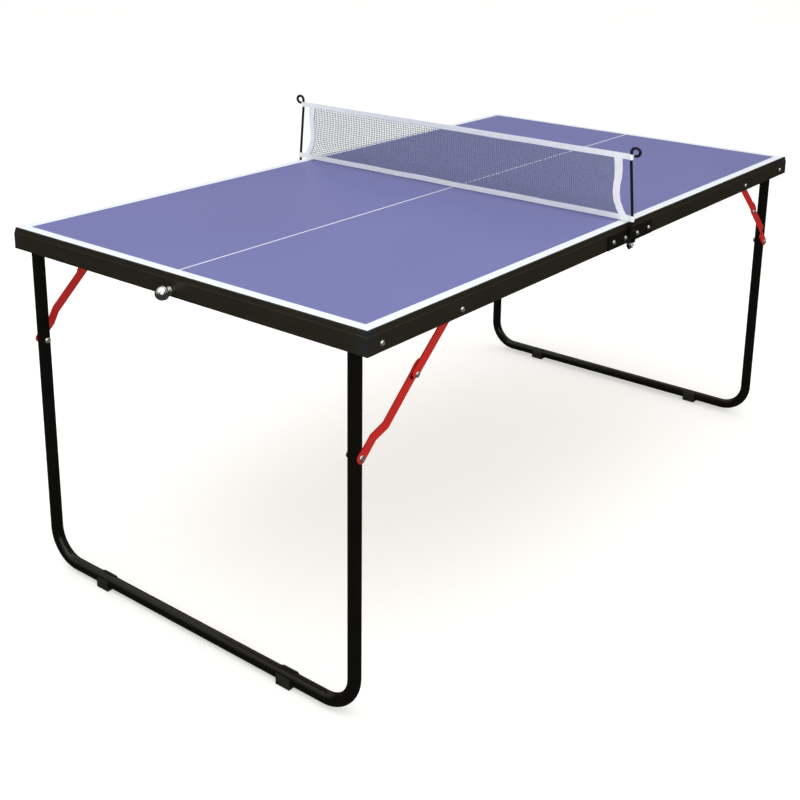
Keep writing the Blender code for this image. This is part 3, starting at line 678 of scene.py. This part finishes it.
def latch_knob(material):
    """The turn knob: a domed head on a waisted neck and a stepped collar."""
    low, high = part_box("latch_knob")
    y = (low.y + high.y) / 2
    z = (low.z + high.z) / 2
    face = SEAM - HALF_LENGTH + 0.4 * MM
    reach = (face - low.x) / MM
    profile = [(-5.8, 3.0), (0.3, 3.0), (0.3, 8.1), (0.6, 8.5), (2.1, 8.5), (2.5, 8.1), (2.6, 7.2),
               (4.1, 7.0)]
    profile += [(4.5, 6.6), (5.0, 5.4), (6.5, 4.9), (8.2, 5.1), (8.9, 6.4), (9.5, 9.0), (10.2, 10.7),
                (11.2, 11.6)]
    profile += [(12.6, 11.9), (14.2, 11.9), (14.8, 11.3), (15.4, 11.6), (17.4, 11.5), (19.8, 10.9),
                (22.2, 9.7)]
    profile += [(24.4, 8.0), (26.2, 6.0), (27.4, 4.0), (reach - 0.15, 2.2), (reach, 0.4)]
    bm = bmesh.new()
    lathe(bm, (face, y, z), (-1, 0, 0), [(along * MM, radius * MM) for along, radius in profile], 56)
    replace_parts(piece("latch_knob_turned", bm, material, "latch", 34), "latch_knob")


def clamp_screws(end, side, material):
    """Two cross-head screws that hold a leg clamp up to the board."""
    x = SEAM + end * (HALF_LENGTH - 19.0 * MM - 24.0 * MM)
    bm = bmesh.new()
    for offset in (-5.0, 5.0):
        centre = (x, side * 300.0 * MM + offset * MM, TOP - 17.2 * MM)
        profile = [(-0.2 * MM, 3.6 * MM), (0.5 * MM, 3.6 * MM), (1.4 * MM, 2.6 * MM), (1.8 * MM, 1.2 * MM)]
        profile += [(1.2 * MM, 0.9 * MM), (1.2 * MM, 0.1 * MM)]
        lathe(bm, centre, (0, 0, -1), profile, 24)
    name = f"{END_NAMES[end]}_{SIDE_NAMES[side]}_clamp_screws"
    piece(name, bm, material, f"{END_NAMES[end]}_half", 40)


# ---------------------------------------------------------------- net


def post_lean(up):
    """How far the taut net pulls a post inwards at a height above the playing surface."""
    share = (up - POST_LEAN_START) / (POST_STRAIGHT_TOP - POST_LEAN_START)
    return POST_LEAN * min(max(share, 0.0), 1.0)


def post_line(up):
    """A post's distance out from the table's middle at a height."""
    return POST_Y - post_lean(up)


def net_post(side, material):
    """A bent wire post: straight up, then curled outwards into a ring."""
    points = [(0.0, -24.0 * MM + i * 5.0 * MM) for i in range(7)]
    points += [(0.0, POST_LEAN_START + i * 9.33 * MM) for i in range(1, 13)]
    for across, up in arc((0, 0), 1, 180, RING_END, 44):
        points.append((RING_HALF_WIDTH * (1 + across), RING_CENTRE_UP + RING_HALF_HEIGHT * up))
    path = [(NET_X, side * (POST_Y + out - post_lean(up)), TOP + up) for out, up in points]
    radii = [POST_RADIUS] * len(path)
    radii[0] = radii[-1] = POST_RADIUS * 0.7
    bm = bmesh.new()
    sweep(bm, path, radii, (1, 0, 0), 20)
    node = f"{SIDE_NAMES[side]}_net_post"
    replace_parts(piece(f"{node}_wire", bm, material, "net_set", 50), node)


# Along a side tape: height, distance of its middle in from the post's line, and width, in mm.
SIDE_TAPE = [(3.5, 15.0, 15.0), (12.0, 20.0, 14.5), (24.0, 26.5, 14.0), (38.0, 31.5, 13.0),
             (52.0, 33.0, 12.5), (66.0, 31.5, 12.5), (82.0, 28.0, 13.5), (98.0, 26.5, 15.0),
             (112.0, 26.5, 16.0), (127.0, 27.0, 16.5)]


def side_tape_at(up):
    """(distance in from the post's line, width) of a side tape at a height, smoothly interpolated."""
    up = up / MM
    for (low, inset_a, width_a), (high, inset_b, width_b) in zip(SIDE_TAPE, SIDE_TAPE[1:]):
        if up <= high or high == SIDE_TAPE[-1][0]:
            share = min(max((up - low) / (high - low), 0.0), 1.0)
            share = share * share * (3 - 2 * share) * 0.5 + share * 0.5
            inset = inset_a + (inset_b - inset_a) * share
            return inset * MM, (width_a + (width_b - width_a) * share) * MM


def net_edge(up):
    return post_line(up) - side_tape_at(up)[0]


def thread(bm, points, thickness):
    """A thread as a closed square bar: its two thicknesses are across the net and within it."""
    rings = []
    half = thickness / 2
    for i, point in enumerate(points):
        ahead = (points[min(i + 1, len(points) - 1)] - points[max(i - 1, 0)]).normalized()
        across = Vector((1, 0, 0))
        inside = ahead.cross(across)
        corners = ((half, half), (half, -half), (-half, -half), (-half, half))
        rings.append([point + across * a + inside * b for a, b in corners])
    skin(bm, rings)


NET_PITCH = 4.6 * MM
NET_THREAD = 0.86 * MM


def net_mesh(material):
    """Woven threads: uprights and level ones pass over and under each other at every crossing."""
    rng = random.Random(11)
    low, high = NET_BOTTOM + 2.0 * MM, NET_TOP - 2.0 * MM
    rows = round((high - low) / NET_PITCH)
    width = 2 * net_edge((low + high) / 2)
    columns = round(width / NET_PITCH)
    slack = {(i, j): (rng.uniform(-0.22, 0.22) * MM, rng.uniform(-0.22, 0.22) * MM)
             for i in range(columns + 1) for j in range(rows + 1)}
    bow = [rng.uniform(-1, 1) for _ in range(6)]

    def knot(i, j, over):
        up = low + (high - low) * j / rows
        share = i / columns
        y = net_edge(up) * (2 * share - 1)
        dy, dz = slack[i, j]
        hang = math.sin(math.pi * j / rows)
        belly = sum(b * math.sin((n + 1) * math.pi * share) for n, b in enumerate(bow)) * 0.25 * MM * hang
        weave = 0.22 * MM * (1 if (i + j) % 2 else -1) * over
        return Vector((NET_X + belly + weave, y + dy, TOP + up + dz))

    bm = bmesh.new()
    for i in range(columns + 1):
        thread(bm, [knot(i, j, 1) for j in range(rows + 1)], NET_THREAD)
    for j in range(rows + 1):
        thread(bm, [knot(i, j, -1) for i in range(columns + 1)], NET_THREAD)
    return piece("net_mesh", bm, material, "net_set", 80), (width, high - low)


def band(bm, plan, low, high, thickness):
    """A closed upright band whose outer face follows plan, a loop of (x, y)."""
    count = len(plan)
    outer, inner = [], []
    for i in range(count):
        before, after = Vector(plan[i - 1]), Vector(plan[(i + 1) % count])
        ahead = (after - before).normalized()
        inward = Vector((-ahead.y, ahead.x))
        outer.append(Vector(plan[i]))
        inner.append(Vector(plan[i]) + inward * thickness)
    rings = []
    for o, n in zip(outer, inner):
        soft = thickness * 0.45
        rings.append([(o.x, o.y, low + soft), (o.x, o.y, high - soft), (n.x, n.y, high), (n.x, n.y, low)])
    skin(bm, rings, closed=True)


def tape_plan(up, half_gap, loop):
    """The loop a level tape makes in plan: along one face, round a post, back and round the other post."""
    near, far = -post_line(up), post_line(up)
    neck = 7.0 * MM
    steps = 90
    plan = [(NET_X + half_gap, near + neck + (far - near - 2 * neck) * i / steps) for i in range(steps + 1)]
    plan += [(NET_X + x, far + y) for x, y in arc((0, 0), loop, -42, 222, 26)]
    plan += [(NET_X - half_gap, far - neck - (far - near - 2 * neck) * i / steps) for i in range(steps + 1)]
    plan += [(NET_X + x, near + y) for x, y in arc((0, 0), loop, 138, 402, 26)]
    return plan


def level_tape(name, low, high, material, rng_seed):
    """The top or bottom tape, folded over the net's edge and looped round both posts."""
    bm = bmesh.new()
    middle = (low + high) / 2
    plan = tape_plan(middle, 1.15 * MM, 3.8 * MM)
    band(bm, plan, TOP + low, TOP + high, 0.5 * MM)
    rng = random.Random(rng_seed)
    waves = [(rng.uniform(-1, 1), rng.uniform(0, 6.3)) for _ in range(5)]
    for vert in bm.verts:
        share = vert.co.y / POST_Y
        if abs(share) < 0.97:
            ripple = sum(a * math.sin((3 + 4 * n) * share + p) for n, (a, p) in enumerate(waves))
            vert.co.z += 0.22 * MM * ripple * (1 - share * share)
    return piece(name, bm, material, "net_set", 45)


def hem_cord(name, up, material):
    """The cord sewn into the fold of a tape, which closes it along the edge."""
    near, far = -post_line(up) + 5.5 * MM, post_line(up) - 5.5 * MM
    bm = bmesh.new()
    path = [(NET_X, near + (far - near) * i / 60, TOP + up) for i in range(61)]
    sweep(bm, path, [1.0 * MM] * 61, (1, 0, 0), 12)
    return piece(name, bm, material, "net_set", 60)


def side_tape(side, material):
    """The tape down a net's end, drawn in where the net pulls it and folded over the last threads."""
    bm = bmesh.new()
    rings = []
    steps = 48
    for i in range(steps + 1):
        up = (4.0 + (127.0 - 4.0) * i / steps) * MM
        inset, width = side_tape_at(up)
        twist = math.sin(math.pi * min(max((up / MM - 10) / 100, 0), 1)) * 0.9 * MM
        middle = post_line(up) - inset
        ring = []
        for across in (-1.0, -0.6, 0.0, 0.6, 1.0):
            y = side * (middle + across * width / 2)
            curl = 0.7 * MM * across * across
            ring.append((NET_X + 0.95 * MM + curl * 0.4 + twist * across, y, TOP + up))
        for across in (1.0, 0.6, 0.0, -0.6, -1.0):
            y = side * (middle + across * width / 2)
            ring.append((NET_X - 0.95 * MM + twist * across, y, TOP + up))
        rings.append(ring)
    skin(bm, rings)
    return piece(f"{SIDE_NAMES[side]}_net_side_tape", bm, material, "net_set", 50)


def add_net(thread_material, level_material, upright_material):
    mesh, cut = net_mesh(thread_material)
    pieces = [
        level_tape("net_top_tape", NET_TOP - TAPE_DEPTH, NET_TOP - 0.3 * MM, level_material, 3),
        level_tape("net_bottom_tape", NET_BOTTOM + 0.3 * MM, NET_BOTTOM + TAPE_DEPTH, level_material, 5),
        hem_cord("net_top_cord", NET_TOP - 1.4 * MM, level_material),
        hem_cord("net_bottom_cord", NET_BOTTOM + 1.5 * MM, level_material),
        side_tape(NEAR, upright_material),
        side_tape(FAR, upright_material),
    ]
    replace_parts(mesh, "net")


# ---------------------------------------------------------------- putting it together


def paint_nodes(nodes, paints):
    """Gives each carried-over CAD node the finish that suits it."""
    for name, node in nodes.items():
        if "board" in name:
            material = paints["board"]
        elif "side_rail" in name:
            material = paints["rail_x"]
        elif "rail" in name:
            material = paints["rail_y"]
        elif "cap" in name or "foot" in name:
            material = paints["plastic"]
        elif "crossbar" in name or "leg_frame" in name:
            material = paints["tube"]
        elif "brace_link" in name:
            material = paints["red"]
        elif "leaf" in name or "net_" in name:
            material = paints["steel"]
        elif name == "latch_knob":
            material = paints["chrome"]
        elif name == "net":
            material = paints["thread"]
        else:
            material = paints["zinc"]
        for slot in node.material_slots:
            slot.material = material


def add_floor(material):
    bm = bmesh.new()
    reach = FLOOR_REACH
    corners = [(-reach, -reach), (reach, -reach), (reach, reach), (-reach, reach)]
    bm.faces.new([bm.verts.new((x, y, -FLOOR_DROP)) for x, y in corners])
    mesh = bpy.data.meshes.new("floor")
    bm.to_mesh(mesh)
    bm.free()
    mesh.materials.append(material)
    floor = bpy.data.objects.new("floor", mesh)
    bpy.context.scene.collection.objects.link(floor)
    floor.visible_glossy = False


def build():
    add_camera()
    bpy.context.scene.view_settings.view_transform = "Standard"
    add_world()
    add_softbox("overhead_softbox", (-1.0, -0.3, 3.2), (-0.2, 0.0, 0.4), (3.6, 3.6), 44.0, True)
    add_softbox("front_softbox", (-3.2, -3.6, 2.2), (0.0, 0.0, 0.4), (2.6, 2.6), 34.0, True)
    add_softbox("right_softbox", (3.8, -2.4, 2.0), (0.0, 0.0, 0.4), (2.4, 2.4), 8.0)
    paints = {
        "board": playing_surface(),
        "rail_x": rail_coating("side_rail_coating", "x"),
        "rail_y": rail_coating("end_rail_coating", "y"),
        "plastic": moulded_plastic(),
        "tube": tube_paint(),
        "red": red_paint(),
        "steel": black_steel(),
        "chrome": polished_chrome(),
        "zinc": zinc_plate(),
        "thread": net_thread(),
    }
    paint_nodes(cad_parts, paints)
    add_floor(studio_floor())
    for end in (LEFT, RIGHT):
        leg_tube(end, paints["tube"])
        for side in (NEAR, FAR):
            foot_pad(end, side, paints["plastic"])
            leg_pivot(end, side, paints["zinc"])
            joint_rivet(end, side, paints["zinc"])
            stop_lobe(end, side, paints["red"])
            side_rivets(end, side, paints["zinc"])
            clamp_screws(end, side, paints["zinc"])
    for side in (NEAR, FAR):
        hinge_pivot(side, paints["zinc"])
        socket_screw(side, paints["steel"])
        net_post(side, paints["steel"])
    latch_knob(paints["chrome"])
    add_net(paints["thread"], woven_tape("level_tape_weave", "z"), woven_tape("side_tape_weave", "y"))


build()
bpy.context.view_layer.update()
